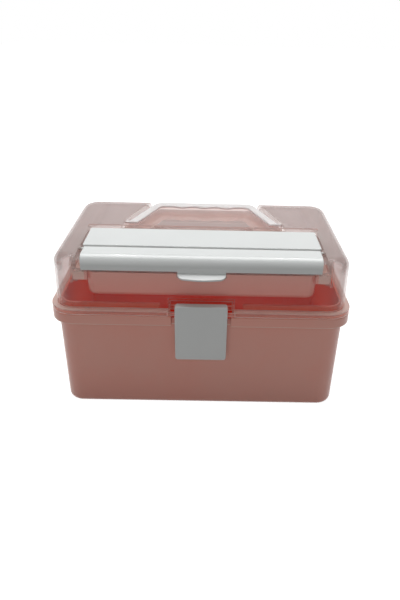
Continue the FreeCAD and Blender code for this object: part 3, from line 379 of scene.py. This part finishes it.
def clear_plastic(name):
    """Clear plastic: seen head on it hardly shows, seen edge on it is tinted and milky, with painted
    highlight lines along its edges and flange.
    """
    shader = Shader(name)
    height = shader.height()
    rounded = shader.soft_edges(0.0011)
    normal = shader.rippled(rounded, scale=2200.0, strength=0.3, depth=0.00001)
    grazing = shader.grazing(normal)
    head_on_to_slanting = 0.12, 0.5
    slant = shader.remap(grazing, head_on_to_slanting, smooth=True)
    top = shader.remap(height, lid_shoulder, smooth=True)
    recess = shader.band(height, recess_floor, soft=0.0003)
    deeper = shader.larger(shader.remap(height, bead_foot), recess)
    flange = shader.band(height, flange_heights, soft=0.0002)
    bright = painted_edge_highlights_of_lid(shader, height, rounded, top)
    haze = haze_of_lid(shader, height, slant, top, flange)

    skin = shader.mix(top, side_milk, mottle(shader, *top_milks))
    skin = shader.mix(deeper, skin, recess_milk)
    # Painted: the tub's pink shows on the flange.
    skin = shader.mix(flange, skin, painted_tub_pink_on_flange)
    # The painted edge highlights take the pale colour.
    until_pale = 0.0, 0.4
    colour = shader.mix(shader.remap(bright, until_pale), skin, painted_edge_highlight_colour)
    milk_face = shader.shader(
        "BsdfPrincipled", base_color=colour, normal=normal, roughness=handled(shader, moulded_roughness))
    glow_share = 0.35
    milk = shader.mix_shaders(glow_share, milk_face, shader.shader("BsdfTranslucent", color=colour))

    upper_tint = shader.mix(deeper, top_tint, recess_tint)
    slanting_tint = shader.mix(shader.times(top, shader.lying()), side_tint, upper_tint)
    see_through = shader.shader("BsdfTransparent", color=shader.mix(slant, head_on_tint, slanting_tint))
    film = shader.mix_shaders(shader.plus(haze, bright, clamp=True), see_through, milk)
    head_on_shine, edge_on_shine = 0.012, 0.6
    shine = shader.blend(shader.math("POWER", grazing, 5.0), head_on_shine, edge_on_shine)
    gloss = shader.shader("BsdfGlossy", color=(1.0, 1.0, 1.0, 1.0), roughness=0.12, normal=normal)
    return shader.finish(shader.mix_shaders(shine, film, gloss))


lid_clear = clear_plastic("lid_clear")


# Each piece gets its material

dressing = {
    "base_tub": tub_pink,
    "lid_shell": lid_clear,
    "carry_handle": handle_white,
    "compartment_bin": bin_pink,
    "compartment_cover": white,
    "compartment_flap": flap_white,
    "front_latch": white,
    "lid_hinge_pin_left": steel,
    "lid_hinge_pin_right": steel,
}
for name, material in dressing.items():
    mesh = nodes[name].data
    mesh.materials.clear()
    mesh.materials.append(material)


# Floor, light and camera

def add_floor():
    """A pale floor that looks white to the camera and keeps the box's shadow."""
    reach = 1.6
    behind = reach * 3
    glow_to_eye = 0.95
    mesh = bpy.data.meshes.new("floor")
    mesh.from_pydata([(-reach, -reach, 0), (reach, -reach, 0), (reach, behind, 0), (-reach, behind, 0)],
                     [], [(0, 1, 2, 3)])
    floor = bpy.data.objects.new("floor", mesh)
    scene.collection.objects.link(floor)
    shader = Shader("floor")
    paint = shader.shader("BsdfDiffuse", color=(0.5, 0.5, 0.5, 1.0))
    path = shader.node("LightPath").outputs
    reflected = shader.larger(path["Is Glossy Ray"], path["Is Transmission Ray"])
    seen = shader.larger(path["Is Camera Ray"], reflected)
    glow = shader.shader("Emission", color=(1.0, 1.0, 1.0, 1.0), strength=shader.times(seen, glow_to_eye))
    both = shader.node("AddShader")
    shader.feed(both.inputs[0], paint)
    shader.feed(both.inputs[1], glow)
    mesh.materials.append(shader.finish(both.outputs[0]))


def add_lamp(name, place, target, size, power, colour=(1.0, 1.0, 1.0)):
    """An area lamp that points at its target."""
    data = bpy.data.lights.new(name, "AREA")
    data.shape = "RECTANGLE"
    data.size, data.size_y = size
    data.energy = power
    data.color = colour
    lamp = bpy.data.objects.new(name, data)
    lamp.location = place
    lamp.rotation_euler = (Vector(target) - Vector(place)).to_track_quat("-Z", "Y").to_euler()
    scene.collection.objects.link(lamp)


def add_world(light):
    """White to the camera and in reflections, and a soft light of its own."""
    world = bpy.data.worlds.new("world")
    scene.world = world
    world.use_nodes = True
    tree = world.node_tree
    tree.nodes.clear()
    output = tree.nodes.new("ShaderNodeOutputWorld")
    background = tree.nodes.new("ShaderNodeBackground")
    background.inputs["Color"].default_value = (1.0, 1.0, 1.0, 1.0)
    path = tree.nodes.new("ShaderNodeLightPath")
    seen = path.outputs["Is Camera Ray"]
    for ray in ("Is Glossy Ray", "Is Transmission Ray"):
        either = tree.nodes.new("ShaderNodeMath")
        either.operation = "MAXIMUM"
        tree.links.new(seen, either.inputs[0])
        tree.links.new(path.outputs[ray], either.inputs[1])
        seen = either.outputs[0]
    strength = tree.nodes.new("ShaderNodeMapRange")
    strength.inputs["To Min"].default_value = light
    strength.inputs["To Max"].default_value = 1.0
    tree.links.new(seen, strength.inputs["Value"])
    tree.links.new(strength.outputs[0], background.inputs["Strength"])
    tree.links.new(background.outputs[0], output.inputs["Surface"])


def add_camera():
    """The photograph's view: looking down from the front, with the picture turned a little."""
    focal_pixels = 580.06
    picture_height = 600
    middle_shift = 16.48
    place = 0.00594, -0.51316, 0.33368
    pitch, roll, yaw = math.radians(27.249), math.radians(-1.515), math.radians(0.899)
    data = bpy.data.cameras.new("camera")
    data.sensor_width = 36.0
    data.lens = data.sensor_width * focal_pixels / picture_height
    data.shift_x = -middle_shift / picture_height
    data.clip_start = 0.01
    camera = bpy.data.objects.new("camera", data)
    turn = (Matrix.Rotation(-yaw, 4, "Z") @ Matrix.Rotation(math.pi / 2 - pitch, 4, "X")
            @ Matrix.Rotation(-roll, 4, "Z"))
    camera.matrix_world = Matrix.Translation(place) @ turn
    scene.collection.objects.link(camera)
    scene.camera = camera


add_floor()
add_world(light=0.19)
add_lamp("top_light", place=(0.0, 0.3, 1.15), target=(0.0, 0.0, 0.1), size=(1.0, 0.6), power=8.6)
add_lamp("front_light", place=(-0.3, -1.1, 0.7), target=(0.0, 0.0, 0.08), size=(0.6, 0.6), power=0.8,
         colour=(1.0, 0.985, 0.955))
for side in (-1, 1):
    add_lamp("spark", place=(0.2 * side, 0.46, 0.93), target=(0.0, -0.06, 0.14), size=(0.02, 0.16), power=0.5)
add_camera()

scene.view_settings.view_transform = "Standard"
